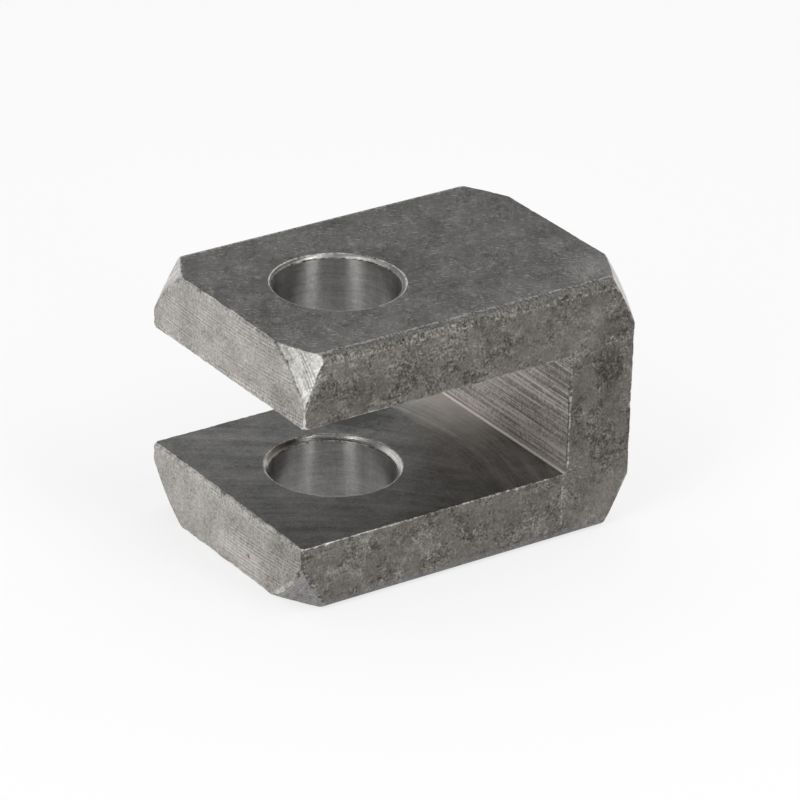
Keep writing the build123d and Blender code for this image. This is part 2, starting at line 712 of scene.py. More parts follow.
# %% Tumbled grain
grain_group, given, result = new_group(
    "tumbled_grain",
    [
        ("Place", "Vector", None),
        ("Fine", "Float", 1.0),
        ("Middle", "Float", 1.0),
        ("Broad", "Float", 1.0),
        ("Rubs", "Float", 1.0),
    ],
    ["Tone", "Height"],
)
tree = grain_group
fine = cloud(tree, given["Place"], 3.4, 1.0, 0.6)
middle = cloud(tree, given["Place"], 1.5, 1.0, 0.7)
broad = cloud(tree, given["Place"], 0.3, 2.0, 0.5)
x, y, z = parts(tree, given["Place"])
unrolled = vector(tree, x, total(tree, y, z))
rubs = 0.0
for cell, share in ((0.75, 0.75), (1.2, 0.75), (2.1, 0.7)):
    moved = vector_maths(tree, "ADD", unrolled, (cell * 31, cell * 17, 0))
    layer = use_group(tree, scratch_group, Place=moved, Cell=cell, Width=0.11, Share=share)
    rubs = total(tree, rubs, layer["Mask"])
tone = total(
    tree,
    swing(tree, fine, given["Fine"]),
    swing(tree, middle, given["Middle"]),
    swing(tree, broad, given["Broad"]),
    product(tree, minus(tree, rubs, 0.25), given["Rubs"]),
)
feed(tree, result["Tone"], tone)
feed(tree, result["Height"], total(tree, fine, middle))
print("Nodes in the tumbled grain:", len(tree.nodes))

# %% [markdown]
# Small pits and bright grains sit here and there. A noise cut at a high level gives specks of every shape.
# The real ones are small and round, so they are the centres of a few chosen Voronoi cells.

# %% Specks
speck_group, given, result = new_group(
    "specks",
    [
        ("Place", "Vector", None),
        ("Spacing", "Float", 1.0),
        ("Reach", "Float", 0.15),
        ("Share", "Float", 0.2),
    ],
    ["Mask"],
)
tree = speck_group
cells = tree.nodes.new("ShaderNodeTexVoronoi")
feed(tree, cells.inputs["Vector"], given["Place"])
feed(tree, cells.inputs["Scale"], maths(tree, "DIVIDE", 1.0, given["Spacing"]))
chance = parts(tree, cells.outputs["Color"])[0]
chosen = maths(tree, "LESS_THAN", chance, given["Share"])
size = product(tree, maths(tree, "DIVIDE", given["Reach"], given["Spacing"]), chosen)
feed(tree, result["Mask"], ease(tree, cells.outputs["Distance"], size, 0.0))


def specks(tree, place, spacing, reach, share):
    return use_group(tree, speck_group, Place=place, Spacing=spacing, Reach=reach, Share=share)["Mask"]


print("Nodes in the specks:", len(tree.nodes))

# %% [markdown]
# Some marks are in one place only, such as a stain beside the bore. They could be painted on an image,
# but a soft patch about one point, with a ragged outline, needs only a place, a reach and a strength.
# A strength below zero makes the metal darker there.

# %% A patch in one place
patch_group, given, result = new_group(
    "patch",
    [
        ("Place", "Vector", None),
        ("Centre", "Vector", None),
        ("Reach", "Vector", (1, 1, 1)),
        ("Ragged", "Float", 0.8),
    ],
    ["Mask"],
)
tree = patch_group
offset = vector_maths(tree, "SUBTRACT", given["Place"], given["Centre"])
distance = vector_maths(tree, "LENGTH", vector_maths(tree, "DIVIDE", offset, given["Reach"]))
ragged = swing(tree, cloud(tree, given["Place"], 1.1, 4.0, 0.65), given["Ragged"])
feed(tree, result["Mask"], ease(tree, total(tree, distance, ragged), 1.0, 0.25))


def spot(tree, place, centre, reach, strength):
    mask = use_group(tree, patch_group, Place=place, Centre=centre, Reach=reach)["Mask"]
    return product(tree, mask, strength)


print("Nodes in the patch:", len(tree.nodes))

# %% [markdown]
# Every finish is bare steel: a metal shader, the place on the piece in millimetres, a colour between
# a dark and a light steel, and a slight relief. The relief could be cut into the mesh, but it is only
# hundredths of a millimetre deep, which a Bump node shows as well.
# Several marks follow one slanting direction across the part, so it is named here once.

# %% Start and end a finish
SLANT = (0.57, 0.82, 0)
ACROSS_SLANT = (0.82, -0.57, 0)
TO_MILLIMETRES = (1000.0, 1000.0, 1000.0)


def start_finish(name, roughness):
    material = bpy.data.materials.new(name)
    material.use_nodes = True
    tree = material.node_tree
    shader = tree.nodes["Principled BSDF"]
    shader.inputs["Metallic"].default_value = 1.0
    shader.inputs["Roughness"].default_value = roughness
    where = tree.nodes.new("ShaderNodeTexCoord")
    place = vector_maths(tree, "MULTIPLY", where.outputs["Object"], TO_MILLIMETRES)
    clevis.data.materials.append(material)
    return tree, shader, place


def end_finish(tree, shader, colour, height, depth):
    bump = tree.nodes.new("ShaderNodeBump")
    bump.inputs["Strength"].default_value = 1.0
    bump.inputs["Distance"].default_value = depth * MILLIMETRE
    feed(tree, bump.inputs["Height"], height)
    feed(tree, shader.inputs["Normal"], bump.outputs[0])
    feed(tree, shader.inputs["Base Color"], colour)
    print("Nodes in this finish:", len(tree.nodes))


print("Finishes to make:", len(FINISHES))

# %% [markdown]
# Drawing through a die leaves the bar with a dull skin, and can score it beside its rounded edges.
# The skin could be an image wrapped round the bar. Nodes leave no seam, and can be told by place where
# the top, the sides and the rounded edges are. These places are the first masks.

# %% Drawn skin: the top and the rounded edges
FLAT_HALF = BAR_HALF - LONG_EDGE_RADIUS

tree, shader, place = start_finish("drawn_skin", 0.5)
x, y, z = parts(tree, place)
on_top = ease(tree, z, 14.6, 14.95)
corner_y = minus(tree, maths(tree, "ABSOLUTE", y), FLAT_HALF)
corner_z = minus(tree, maths(tree, "ABSOLUTE", z), FLAT_HALF)
on_corner = ease(tree, maths(tree, "MINIMUM", corner_y, corner_z), -0.1, 0.1)
print("Nodes so far:", len(tree.nodes))

# %% [markdown]
# The score is bright, wanders and breaks up, and short dashes lie on the rounding itself. It could be
# a modelled groove, but it has hardly any depth. So it is a narrow band at one distance from the flat,
# moved a little by one noise and cut up by another. Only the two upper edges have it.

# %% Drawn skin: the die's score
dots = cloud(tree, place, 3.3, 1.0, 0.6)
wander = cloud(tree, place, 1.2, 1.0, 0.6)
from_upper_line = maths(tree, "ABSOLUTE", total(tree, corner_y, swing(tree, wander, 0.4), -0.1))
from_lower_line = maths(tree, "ABSOLUTE", total(tree, corner_z, swing(tree, wander, 0.8), 0.05))
upper_line = ease(tree, from_upper_line, 0.3, 0.06)
lower_line = ease(tree, from_lower_line, 0.45, 0.0, 0.0, 0.55)
scored = product(tree, maths(tree, "MAXIMUM", upper_line, lower_line), on_corner)
die_line = product(tree, scored, ease(tree, dots, 0.42, 0.68, 0.0, 0.75), ease(tree, z, 0.0, 1.0))
across_corner = minus(tree, corner_z, corner_y)
dashes = cloud(tree, vector(tree, x, product(tree, across_corner, 0.4)), 4.2, 1.0, 0.6)
corner_tone = product(tree, on_corner, minus(tree, swing(tree, dashes, 0.65), 0.02))
print("Nodes so far:", len(tree.nodes))

# %% [markdown]
# Tumbling mottled the skin in patches, more on the sides than on the top. The top was also rubbed at
# a slant, which drew out its grain and left light strokes. Both could be painted, but a noise that reads
# a turned and squeezed place is already drawn out, and has no end and no seam.

# %% Drawn skin: grain and strokes
ALONG_STROKES = (0.84, -0.54, 0)
ACROSS_STROKES = (0.54, 0.84, 0)

patchy = ease(tree, cloud(tree, place, 0.42, 2.0, 0.6), 0.36, 0.64, 0.5, 1.45)
roughen = product(tree, patchy, total(tree, product(tree, on_top, -0.48), 1.0))
along_rub = product(tree, vector_maths(tree, "DOT_PRODUCT", place, SLANT), 0.55)
rubbed_place = vector(tree, vector_maths(tree, "DOT_PRODUCT", place, ACROSS_SLANT), along_rub, z)
grain_place = vector_mix(tree, on_top, place, rubbed_place)
grain = use_group(tree, grain_group, Place=grain_place, Fine=0.56, Middle=0.43, Broad=0.36, Rubs=0.06)
across_strokes = product(tree, vector_maths(tree, "DOT_PRODUCT", place, ACROSS_STROKES), 6.5)
stroke_place = vector(tree, vector_maths(tree, "DOT_PRODUCT", place, ALONG_STROKES), across_strokes)
strokes = ease(tree, cloud(tree, stroke_place, 1.0, 1.0), 0.62, 0.74)
clouds = swing(tree, cloud(tree, grain_place, 0.5, 3.0, 0.6), 0.32)
top_tone = product(tree, total(tree, product(tree, strokes, 0.34), clouds, -0.012), on_top)
print("Nodes so far:", len(tree.nodes))

# %% [markdown]
# Over the grain lie long and short scratches, bright specks and dark pits, all over but stronger in patches.
# They come from the shared groups. A second layer reads a shifted place, so that it isn't the first again.

# %% Drawn skin: scratches and specks
MARKS_SHIFT = (7.3, 2.1, 0)
PITS_SHIFT = (3.3, 5.1, 8.7)

unrolled = vector(tree, x, total(tree, y, z))
shifted = vector_maths(tree, "ADD", unrolled, MARKS_SHIFT)
long_marks = use_group(tree, scratch_group, Place=unrolled, Cell=1.7, Width=0.08, Share=0.55)["Mask"]
short_marks = use_group(tree, scratch_group, Place=shifted, Cell=1.1, Width=0.08, Share=0.6)["Mask"]
bright_specks = specks(tree, place, 0.9, 0.15, 0.15)
dark_pits = specks(tree, vector_maths(tree, "ADD", place, PITS_SHIFT), 0.6, 0.2, 0.3)
marks = total(
    tree,
    product(tree, long_marks, 0.22),
    product(tree, short_marks, 0.25),
    product(tree, bright_specks, 0.55),
    product(tree, dark_pits, -0.25),
)
quiet = total(tree, product(tree, on_top, -0.26), 1.0)
marks = product(tree, marks, product(tree, patchy, quiet))
print("Nodes so far:", len(tree.nodes))

# %% [markdown]
# The top and the near side also have stains and rubbed places that are easy to point to, and a short line
# is scribed on the near side, level with the slot's root. Chance wouldn't put them there, so each is set
# by its own place. The scribed line is a mask across x and another along z, broken by the same dots.

# %% Drawn skin: spots and the scribed line
TOP = BAR_HALF
NEAR = -BAR_HALF
SCRIBE_X = 20.1
SCRIBE_MIDDLE_Z = -10.0

spots = total(
    tree,
    spot(tree, place, (17.7, -2.8, TOP), (0.9, 0.9, 1), -0.14),
    spot(tree, place, (26, -11, TOP), (5, 5, 1), 0.1),
    spot(tree, place, (8, 1, TOP), (6, 6, 1), -0.06),
    spot(tree, place, (-9, 4, TOP), (4, 4, 1), -0.05),
    spot(tree, place, (26, NEAR, 5), (2.6, 1, 8), -0.14),
    spot(tree, place, (22, NEAR, 8), (2.5, 1, 2.5), 0.08),
    spot(tree, place, (26, NEAR, -12), (4, 1, 4), 0.06),
    spot(tree, place, (-13, NEAR, 13), (4, 1, 3), 0.12),
    spot(tree, place, (-6, NEAR, 9.5), (3.5, 1, 2.5), -0.12),
    spot(tree, place, (-5.3, -9.7, TOP), (0.7, 0.5, 1), -0.12),
    spot(tree, place, (6, -6.3, TOP), (1.2, 0.7, 1), -0.1),
    spot(tree, place, (23.5, NEAR, 11), (1.2, 1, 2), 0.1),
    spot(tree, place, (21.6, NEAR, 0), (1.2, 1, 6), -0.08),
)
on_scribe = ease(tree, distance_from(tree, x, SCRIBE_X), 0.22, 0.04)
within_scribe = ease(tree, distance_from(tree, z, SCRIBE_MIDDLE_Z), 3.6, 3.0)
on_near_side = ease(tree, y, -14.8, -14.95, 0.0, 0.3)
scribe = product(tree, on_scribe, within_scribe, on_near_side, ease(tree, dots, 0.4, 0.6))
print("Nodes so far:", len(tree.nodes))

# %% [markdown]
# Everything adds up to one tone, which picks between a dark and a light steel. The sides are warmer than
# the top, in a tint that drifts. The tone is squared in part, because bare steel is mostly dark
# with few bright places. A Color Ramp would need its stops set again with each change.
# Bright places are worn smooth, so they are also glossier.

# %% Drawn skin: colour
SIDE_DARK = (0.046, 0.0423, 0.038)
SIDE_WARM = (0.36, 0.33, 0.293)
SIDE_COOL = (0.343, 0.334, 0.308)
TOP_DARK = (0.047, 0.046, 0.044)
TOP_LIGHT = (0.335, 0.328, 0.313)
# A pale bluish grey for the painted reflection of the floor on the lower rounded edges.
FLOOR_REFLECTION_GREY = (0.22, 0.22, 0.228)

near_edge = product(tree, ease(tree, y, -8.0, -13.0), 0.05)
tone = total(tree, product(tree, grain["Tone"], roughen), marks, spots, top_tone, near_edge, 0.35)
tone = total(tree, tone, die_line, scribe, corner_tone)
tone = product(tree, tone, total(tree, product(tree, tone, 1.25), 0.55))
tint = ease(tree, cloud(tree, place, 0.6, 3.0, 0.6), 0.35, 0.65)
side_light = mix_colour(tree, tint, SIDE_WARM, SIDE_COOL)
side_colour = mix_colour(tree, tone, SIDE_DARK, side_light)
top_colour = mix_colour(tree, tone, TOP_DARK, TOP_LIGHT)
# The lower rounded edges blend towards that grey: a painted reflection of the floor.
painted_floor_reflection = product(tree, on_corner, ease(tree, z, -13.0, -14.0, 0.0, 0.5))
side_colour = mix_colour(tree, painted_floor_reflection, side_colour, FLOOR_REFLECTION_GREY)
colour = mix_colour(tree, on_top, side_colour, top_colour)
feed(tree, shader.inputs["Roughness"], ease(tree, tone, 0.1, 0.9, 0.62, 0.42))
end_finish(tree, shader, colour, product(tree, grain["Height"], roughen), 0.012)

# %% [markdown]
# A large circular saw cut the tips, and left shallow arcs across them. The plain end was faced in a lathe,
# which leaves circles about the rod's axis. Both are flats square to the rod, so one finish does both,
# and x says which. The arcs could follow the distance from the saw's centre. Their sag, which is
# the square of the offset over twice the radius, gives the same curve with fewer nodes.

# %% Sawn ends: lines
SAW_RADIUS = 156.0
SAW_TILT = 0.016
MEAN_RADIUS = 10.0


def sag(tree, offset, radius):
    return maths(tree, "DIVIDE", product(tree, offset, offset), 2 * radius)


tree, shader, place = start_finish("sawn_end", 0.45)
x, y, z = parts(tree, place)
sweep = minus(tree, total(tree, z, product(tree, y, SAW_TILT)), sag(tree, y, SAW_RADIUS))
from_axis = vector_maths(tree, "LENGTH", vector(tree, y, z))
around = product(tree, maths(tree, "ARCTAN2", y, z), MEAN_RADIUS)
at_plain_end = ease(tree, x, 0.0, 1.0)
measured = vector_mix(tree, at_plain_end, vector(tree, sweep, y), vector(tree, from_axis, around))
across, along = parts(tree, measured)[:2]
lines = use_group(
    tree, lines_group, Across=across, Along=along, Pitch=0.39, Run=3.0, Waver=0.15, Even=0.42, Streaks=0.4
)
lower_far = product(tree, ease(tree, y, -2.0, 9.0), ease(tree, z, 3.0, -3.0))
line_tone = product(tree, lines["Tone"], minus(tree, 1.0, product(tree, lower_far, 0.75)))
print("Nodes so far:", len(tree.nodes))

# %% [markdown]
# Milling the slot left a ragged burr on the tips beside it, with bright and dark bits, and the lower tip has
# one small spot of rust. The burr could be modelled, but it is flattened and only its tone shows.
# So it is a noise, kept to a band beside the slot. The rust is one patch with its own colour.

# %% Sawn ends: burr, rust and colour
SAWN_DARK = (0.2, 0.188, 0.17)
SAWN_LIGHT = (0.66, 0.638, 0.597)
RUST = (0.3, 0.14, 0.13)

grain = use_group(tree, grain_group, Place=place, Fine=1.05, Middle=0.5, Broad=0.55, Rubs=0.06)
grain_tone = product(tree, grain["Tone"], ease(tree, x, 0.0, 1.0, 1.0, 0.45))
by_slot = product(tree, ease(tree, maths(tree, "ABSOLUTE", z), 8.5, 7.3), ease(tree, x, 1.0, 0.0))
burr = product(tree, by_slot, ease(tree, cloud(tree, place, 2.6, 2.0, 0.7), 0.42, 0.62, -0.12, 0.32))
dark_specks = product(tree, specks(tree, place, 1.1, 0.2, 0.25), -0.4)
spots = total(
    tree,
    product(tree, ease(tree, y, -5.0, -11.0, 0.0, -0.2), ease(tree, z, 12.0, 9.0)),
    spot(tree, place, (TIP_X, -2.0, -12.8), (2.0, 7.0, 2.2), 0.2),
    spot(tree, place, (TIP_X, -10.5, -8.0), (2.0, 2.5, 1.5), -0.08),
)
tone = total(tree, line_tone, grain_tone, burr, spots, dark_specks, 0.5)
rust = use_group(tree, patch_group, Place=place, Centre=(TIP_X, -4.6, -12.4), Reach=(1.0, 0.45, 0.4))["Mask"]
colour = mix_colour(tree, rust, mix_colour(tree, tone, SAWN_DARK, SAWN_LIGHT), RUST)
end_finish(tree, shader, colour, total(tree, lines["Height"], product(tree, grain["Height"], 0.5)), 0.015)

# %% [markdown]
# The lathe tool left fine circles about the rod's axis on the turned patches. A Wave texture in rings
# would be even all over, so the tool lines are used, measured outwards from the axis.
# The upper near patch at the tips shows most. A darker strip lies beside its tip and widens upwards,
# a band of deeper grooves follows, and single grains sparkle. The patches underneath are painted
# darker, as painted shade.

# %% Turned corners: lines, strip and grooves
tree, shader, place = start_finish("turned_corner", 0.43)
x, y, z = parts(tree, place)
across = vector_maths(tree, "LENGTH", vector(tree, y, z))
around = product(tree, maths(tree, "ARCTAN2", z, y), FACE_RADIUS)
lines = use_group(
    tree, lines_group, Across=across, Along=around, Pitch=0.2, Run=9.0, Waver=0.05, Even=0.1, Streaks=0.6
)
grooves = use_group(
    tree, lines_group, Across=across, Along=around, Pitch=0.26, Run=4.0, Waver=0.05, Even=0.6, Streaks=1.2
)["Tone"]
strip_width = product(tree, minus(tree, z, 9.0), 0.15)
from_strip = minus(tree, minus(tree, across, FACE_RADIUS), strip_width)
groove_zone = product(tree, ease(tree, from_strip, 0.3, 0.6), ease(tree, from_strip, 1.7, 1.2))
upper_near = total(
    tree,
    product(tree, ease(tree, from_strip, 0.06, -0.06), -0.16),
    product(tree, ease(tree, grooves, 0.0, -0.35), groove_zone, -0.32),
    product(tree, specks(tree, place, 0.35, 0.13, 0.35), 0.4),
    0.1,
)
print("Nodes so far:", len(tree.nodes))

# %% [markdown]
# The strip, the grooves and the sparkle belong to one patch of the eight. It could get a material
# of its own, but three fades, one along each axis, already tell it from the others.

# %% Turned corners: colour
UPPER_DARK = (0.24, 0.23, 0.215)
UPPER_LIGHT = (0.98, 0.96, 0.92)
UNDER_SHADE_DARK = (0.09, 0.086, 0.085)
UNDER_SHADE_LIGHT = (0.46, 0.44, 0.434)

on_patch = product(tree, ease(tree, x, 0.0, -5.0), ease(tree, y, 0.0, -5.0), ease(tree, z, 0.0, 5.0))
grain = use_group(tree, grain_group, Place=place, Fine=0.9, Middle=0.5, Broad=0.3, Rubs=0.1)
tone = total(tree, lines["Tone"], grain["Tone"], product(tree, on_patch, upper_near), 0.5)
upper_colour = mix_colour(tree, tone, UPPER_DARK, UPPER_LIGHT)
# The patches underneath take a darker copy of the colours, a painted shade.
painted_shade_colour = mix_colour(tree, tone, UNDER_SHADE_DARK, UNDER_SHADE_LIGHT)
colour = mix_colour(tree, ease(tree, z, 0.0, -9.0), upper_colour, painted_shade_colour)
end_finish(tree, shader, colour, lines["Height"], 0.012)

# %% [markdown]
# A large milling cutter went across the bar and left wide arcs on the cheeks of the slot.
# The last pass, near the root, left tighter arcs that bulge towards the root, and one light band.
# A Wave texture in rings would be even all over. So each set of arcs is straightened instead:
# the arc's own offset is taken away, and the tool lines read what is left.

# %% Milled cheeks of the slot: arcs
CUTTER_RADIUS = 62.5
LAST_PASS_RADIUS = 35.0
LIGHT_ARC_X = 15.45

tree, shader, place = start_finish("milled_cheek", 0.42)
x, y, z = parts(tree, place)
from_centre = minus(tree, x, ROOT_X - CUTTER_RADIUS)
reach = maths(tree, "SQRT", minus(tree, CUTTER_RADIUS**2, product(tree, from_centre, from_centre)))
lines = use_group(
    tree,
    lines_group,
    Across=minus(tree, y, reach),
    Along=from_centre,
    Pitch=0.6,
    Run=14.0,
    Waver=0.6,
    Even=0.05,
    Streaks=0.36,
)
last_arc = total(tree, x, sag(tree, total(tree, y, 2.0), LAST_PASS_RADIUS))
last_pass = use_group(
    tree, lines_group, Across=last_arc, Along=y, Pitch=0.4, Run=7.0, Waver=0.5, Even=0.1, Streaks=0.8
)["Tone"]
light_arc = ease(tree, distance_from(tree, last_arc, LIGHT_ARC_X), 0.5, 0.1)
by_root = ease(tree, last_arc, 11.5, 15.0)
cuts = total(
    tree,
    product(tree, lines["Tone"], minus(tree, 1.0, by_root)),
    product(tree, last_pass, by_root),
    product(tree, light_arc, ease(tree, y, -4.0, 1.0), 0.22),
)
print("Nodes so far:", len(tree.nodes))

# %% [markdown]
# The cheek is painted lighter towards the root, partly where chips rubbed it and partly as painted light,
# and painted darker behind the bore, as painted shade. A light in the slot could show the same,
# but it would then fall on the web as well.

# %% Milled cheeks of the slot: colour
CHEEK_DARK = (0.045, 0.044, 0.043)
CHEEK_LIGHT = (0.665, 0.654, 0.635)

grain = use_group(tree, grain_group, Place=place, Fine=0.4, Middle=0.25, Broad=0.5, Rubs=0.08)
# Lighter towards the root: partly rubbed by chips, partly painted light.
rubbed_and_painted_light = product(tree, ease(tree, x, 13.0, 19.0), ease(tree, y, -6.0, 6.0), 1.1)
painted_light_toward_root = ease(tree, x, 9.0, 19.0, 0.0, 0.3)
# Darker behind the bore: painted shade.
painted_shade_behind_bore = spot(tree, place, (10.0, 10.0, -SLOT_HALF), (8.0, 7.5, 3.0), -0.34)
tone = product(tree, total(tree, cuts, grain["Tone"], painted_light_toward_root, rubbed_and_painted_light, painted_shade_behind_bore, 0.32), 0.5)
end_finish(tree, shader, mix_colour(tree, tone, CHEEK_DARK, CHEEK_LIGHT), lines["Height"], 0.006)

# %% [markdown]
# The rim of the cutter left fine straight lines on the root of the slot, and a small fillet on each side.
# It is painted as the brightest cut on the part, partly as painted light for the dim inside of the slot.
# The fillets could have their own finish, but a fade on z finds them: they are calmer and darker,
# with a faint line where each starts and a bright one where it ends, a painted highlight.

# %% Milled root of the slot
ROOT_DARK = (0.26, 0.238, 0.216)
ROOT_LIGHT = (1.0, 0.94, 0.885)

tree, shader, place = start_finish("milled_root", 0.55)
x, y, z = parts(tree, place)
lines = use_group(
    tree, lines_group, Across=z, Along=y, Pitch=0.2, Run=12.0, Waver=0.15, Even=0.15, Streaks=0.3
)
fine_lines = use_group(
    tree, lines_group, Across=z, Along=y, Pitch=0.09, Run=12.0, Waver=0.1, Even=0.0, Streaks=1.3
)["Tone"]
dashes = ease(tree, fine_lines, 0.12, 0.28, 0.0, 0.45)
grain = use_group(tree, grain_group, Place=place, Fine=0.8, Middle=0.5, Broad=0.4, Rubs=0.15)
into_fillet = minus(tree, maths(tree, "ABSOLUTE", z), SLOT_HALF - SLOT_ROOT_RADIUS)
on_fillet = ease(tree, into_fillet, -0.03, 0.06)
calm = minus(tree, 1.0, product(tree, on_fillet, 0.7))
# The web is painted lighter towards its far side, as painted light, and darker high on its near side, as
# painted shade.
painted_light_far_side = ease(tree, y, -14.0, 6.0, 0.08, 0.16)
shaded = product(tree, ease(tree, z, -3.0, 6.0), ease(tree, y, -4.0, -14.0, 0.0, -0.26))
tone = total(tree, lines["Tone"], grain["Tone"], fine_lines, dashes, painted_light_far_side, shaded)
tone = total(
    tree,
    product(tree, tone, calm),
    product(tree, on_fillet, -0.35),
    # The bright line where each fillet ends is a painted highlight.
    product(tree, ease(tree, into_fillet, 0.25, 0.33), 0.65),
    product(tree, ease(tree, maths(tree, "ABSOLUTE", into_fillet), 0.08, 0.02), 0.3),
    0.57,
)
tone = product(tree, tone, total(tree, tone, 0.36))
colour = mix_colour(tree, tone, ROOT_DARK, ROOT_LIGHT)
end_finish(tree, shader, colour, product(tree, lines["Height"], calm), 0.015)

# %% [markdown]
# Boring leaves very fine rings round the wall, too fine to draw, which pull each highlight out into
# a long streak. The shader's Anisotropic value does that, and its rotation sets the streak's direction.
# Both are the same all over, so they are set on the shader's own sockets.
# Tool lines add rings that can just be seen, and a noise that is stretched down the wall adds pull marks.
# The lower wall is painted a little lighter on two opposite sides, as painted highlight bands.

# %% Bored wall
WALL_DARK = (0.12, 0.117, 0.112)
WALL_LIGHT = (0.46, 0.45, 0.44)

tree, shader, place = start_finish("bored_wall", 0.38)
shader.inputs["Anisotropic"].default_value = 0.95
shader.inputs["Anisotropic Rotation"].default_value = 0.25
x, y, z = parts(tree, place)
around = product(tree, maths(tree, "ARCTAN2", y, x), BORE_RADIUS)
lines = use_group(
    tree, lines_group, Across=z, Along=around, Pitch=0.13, Run=2.5, Waver=0.02, Even=0.0, Streaks=0.5
)
grain = use_group(tree, grain_group, Place=place, Fine=0.4, Middle=0.25, Broad=0.4, Rubs=0.0)
down_wall = vector(tree, product(tree, around, 2.2), product(tree, z, 0.12))
pull_marks = swing(tree, cloud(tree, down_wall, 1.0, 2.0), 0.22)
across_bore = maths(tree, "ABSOLUTE", vector_maths(tree, "DOT_PRODUCT", place, ACROSS_SLANT))
# Lighter sides of the lower wall: painted highlight bands.
painted_highlight_sides = product(tree, ease(tree, across_bore, 3.0, 6.0, 0.0, 0.16), ease(tree, z, 0.0, -7.0))
tone = total(tree, lines["Tone"], grain["Tone"], pull_marks, painted_highlight_sides, 0.54)
end_finish(tree, shader, mix_colour(tree, tone, WALL_DARK, WALL_LIGHT), lines["Height"], 0.008)

# %% [markdown]
# The countersinks were cut last, with a sharp tool, so they are the smoothest and brightest rings.
# They could share the bored wall's finish, but they are glossier and their streaks are weaker.
# The ring on the top is rougher and darker than the others, so both change with height here.

# %% Countersinks
INNER_ROUGHNESS = 0.2
TOP_ROUGHNESS = 0.34
RING_DARK = (0.1, 0.096, 0.092)
RING_LIGHT = (0.85, 0.83, 0.8)

tree, shader, place = start_finish("countersink", INNER_ROUGHNESS)
shader.inputs["Anisotropic"].default_value = 0.8
shader.inputs["Anisotropic Rotation"].default_value = 0.25
x, y, z = parts(tree, place)
around = product(tree, maths(tree, "ARCTAN2", y, x), BORE_RADIUS)
lines = use_group(
    tree, lines_group, Across=z, Along=around, Pitch=0.12, Run=6.0, Waver=0.05, Even=0.1, Streaks=1.1
)
grain = use_group(tree, grain_group, Place=place, Fine=0.3, Middle=0.15, Broad=0.3, Rubs=0.0)
ring_tone = ease(tree, z, 12.0, 14.0, 0.7, 0.25)
# The lower rings are darker on their far side, along the slant: a painted shade.
along_bore = vector_maths(tree, "DOT_PRODUCT", place, SLANT)
painted_shade_far_ring = product(tree, ease(tree, along_bore, 6.5, 7.15), ease(tree, z, 0.0, -2.0, 0.0, -0.4))
tone = total(tree, lines["Tone"], grain["Tone"], ring_tone, painted_shade_far_ring)
feed(tree, shader.inputs["Roughness"], ease(tree, z, 12.0, 14.0, INNER_ROUGHNESS, TOP_ROUGHNESS))
end_finish(tree, shader, mix_colour(tree, tone, RING_DARK, RING_LIGHT), lines["Height"], 0.01)

# %% [markdown]
# The worn edges are the narrow bands that were bevelled above. Knocks and rubbing made them brighter than
# the skin, but unevenly. One flat bright colour would look like a drawn line, so strong grain breaks it up.
# The tips and the mouths of the bore are brighter still, and the lower near corner is darker.

# %% Worn edges
EDGE_DARK = (0.1, 0.092, 0.084)
EDGE_LIGHT = (0.66, 0.64, 0.605)

tree, shader, place = start_finish("worn_edge", 0.42)
x, y, z = parts(tree, place)
from_axis = vector_maths(tree, "LENGTH", vector(tree, x, y))
bore_mouth = ease(tree, distance_from(tree, from_axis, BORE_RADIUS + INNER_COUNTERSINK), 0.6, 0.3)
grain = use_group(tree, grain_group, Place=place, Fine=1.2, Middle=1.2, Broad=1.3, Rubs=0.1)
darker_lower_near_corner = product(tree, ease(tree, z, -7.0, -7.6), ease(tree, y, -13.6, -14.4))
tone = total(
    tree,
    grain["Tone"],
    product(tree, bore_mouth, 0.25),
    product(tree, ease(tree, x, -12.6, -13.4), 0.25),
    product(tree, darker_lower_near_corner, ease(tree, x, -12.9, -13.6, -0.08, -0.44)),
    0.34,
)
end_finish(tree, shader, mix_colour(tree, tone, EDGE_DARK, EDGE_LIGHT), grain["Height"], 0.015)

# %% [markdown]
# The camera looks at the near side and the tips, from a little above, through a long lens, so that
# parallel edges stay nearly parallel. A Track To constraint could aim it, but it would keep it level.
# Here its three directions are worked out from angles, and it rolls a little.

# %% Camera
AZIMUTH = radians(-34.7008)
ELEVATION = radians(26.0832)
ROLL = radians(1.5119)
LENS = 217.232
DISTANCE = 0.527577
ASIDE = 0.000829
DOWN = 0.000957
LOOK_AT = Vector((0.0076, 0, 0))

back = Vector((sin(AZIMUTH) * cos(ELEVATION), -cos(AZIMUTH) * cos(ELEVATION), sin(ELEVATION)))
level = Vector((cos(AZIMUTH), sin(AZIMUTH), 0))
upright = back.cross(level)
right = level * cos(ROLL) + upright * sin(ROLL)
up = upright * cos(ROLL) - level * sin(ROLL)
camera_data = bpy.data.cameras.new("camera")
camera_data.lens = LENS
camera_data.sensor_width = 36.0
camera_data.clip_start = 0.05
camera_data.clip_end = 50.0
camera = bpy.data.objects.new("camera", camera_data)
bpy.context.scene.collection.objects.link(camera)
turn = Matrix((right, up, back)).transposed().to_4x4()
camera.matrix_world = Matrix.Translation(LOOK_AT + back * DISTANCE + right * ASIDE - up * DOWN) @ turn
bpy.context.scene.camera = camera
print("Camera at:", [round(value, 4) for value in camera.location])

# %% [markdown]
# The part stands on a plain pale floor. More light would turn the floor white, but the steel with it.
# So the camera and reflections see the floor as partly glowing white, and light still falls on it
# as on a plain surface, which keeps the part's shadow. It lies a hair below the part, so that
# the two faces don't flicker, and it is clear from below, so that the underside can be looked at.

# %% Floor
FLOOR_GAP = 0.00002
FLOOR_GLOW = 0.7


def seen_directly(tree):
    rays = tree.nodes.new("ShaderNodeLightPath")
    seen = maths(tree, "MAXIMUM", rays.outputs["Is Camera Ray"], rays.outputs["Is Glossy Ray"])
    return maths(tree, "MAXIMUM", seen, rays.outputs["Is Transmission Ray"])


def mix_shaders(tree, share, first, second):
    made = tree.nodes.new("ShaderNodeMixShader")
    for socket, source in zip(made.inputs, (share, first, second)):
        feed(tree, socket, source)
    return made.outputs[0]


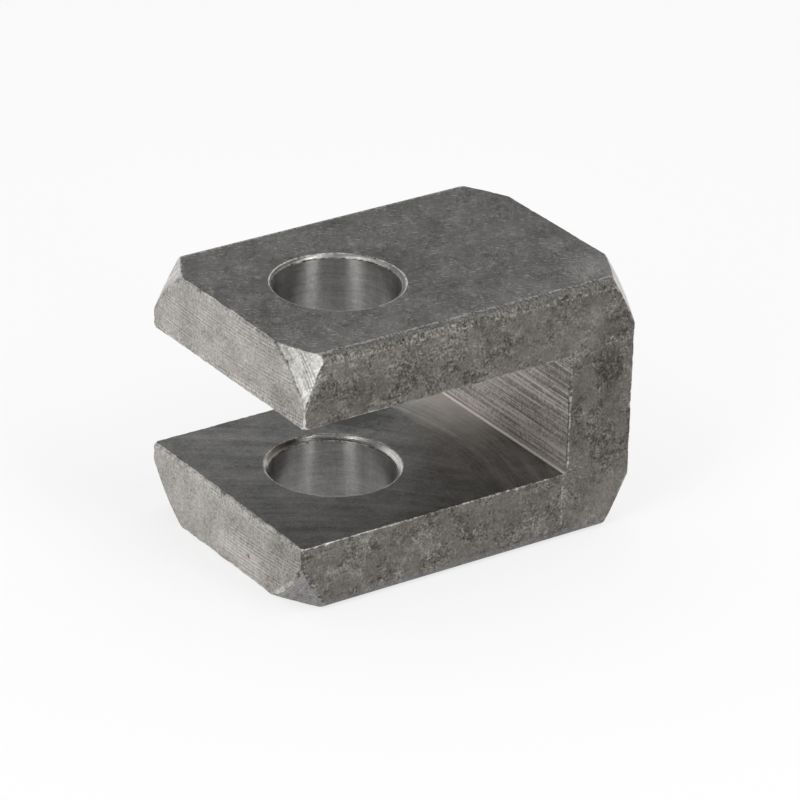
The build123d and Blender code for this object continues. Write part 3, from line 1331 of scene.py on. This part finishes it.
floor_mesh = bmesh.new()
bmesh.ops.create_grid(floor_mesh, x_segments=1, y_segments=1, size=2.0)
bmesh.ops.translate(floor_mesh, vec=(0, 0, cad_low.z - FLOOR_GAP), verts=floor_mesh.verts)
floor = object_from(floor_mesh, "floor")
floor_material = bpy.data.materials.new("pale_floor")
floor_material.use_nodes = True
tree = floor_material.node_tree
shader = tree.nodes["Principled BSDF"]
shader.inputs["Base Color"].default_value = (0.9, 0.9, 0.9, 1)
shader.inputs["Roughness"].default_value = 1.0
white = tree.nodes.new("ShaderNodeEmission")
clear = tree.nodes.new("ShaderNodeBsdfTransparent")
facing = tree.nodes.new("ShaderNodeNewGeometry")
glow = product(tree, seen_directly(tree), FLOOR_GLOW)
blend = mix_shaders(tree, glow, shader.outputs[0], white.outputs[0])
from_both_sides = mix_shaders(tree, facing.outputs["Backfacing"], blend, clear.outputs[0])
feed(tree, tree.nodes["Material Output"].inputs[0], from_both_sides)
floor.data.materials.append(floor_material)
print("Floor at height:", round(floor.data.vertices[0].co.z, 5))

# %% [markdown]
# Metal shows what is around it, so the light is made of shapes that look well in a reflection.
# The world is dim on the near side and bright behind the part, like a room with a pale wall. Two tall
# softboxes stand to the left and right. Sun or point lamps would give only small hard highlights.
# The tops of the softboxes lean away from each other, so that their reflections cross the steel at a slant.

# %% Light
BRIGHT_SIDE = (0.57, 0.82, 0.25)
DIM = 0.2
BRIGHT = 0.85
BOX_DISTANCE = 0.6
BOX_SIZE = (0.18, 0.85)
BOX_POWER = 1.9

world = bpy.data.worlds.new("studio")
bpy.context.scene.world = world
world.use_nodes = True
tree = world.node_tree
sky = tree.nodes.new("ShaderNodeTexCoord")
toward_back = vector_maths(tree, "DOT_PRODUCT", sky.outputs["Generated"], BRIGHT_SIDE)
brightness = ease(tree, toward_back, -0.5, 0.6, DIM, BRIGHT)
feed(tree, tree.nodes["Background"].inputs["Strength"], brightness)
tree.nodes["Background"].inputs["Color"].default_value = (1, 1, 1, 1)


def softbox(name, direction, lean):
    data = bpy.data.lights.new(name, "AREA")
    data.shape = "RECTANGLE"
    data.size, data.size_y = BOX_SIZE
    data.energy = BOX_POWER
    lamp = bpy.data.objects.new(name, data)
    bpy.context.scene.collection.objects.link(lamp)
    toward = Vector(direction).normalized()
    lamp.location = toward * BOX_DISTANCE
    facing_part = toward.to_track_quat("Z", "Y")
    lamp.rotation_euler = (facing_part @ Quaternion((0, 0, 1), radians(lean))).to_euler()


softbox("left_softbox", (-0.76, -0.262, 0.59), 20)
softbox("right_softbox", (0.236, -0.772, 0.59), -20)
bpy.context.scene.view_settings.view_transform = "Standard"
print("Lamps:", list(bpy.data.lights.keys()))
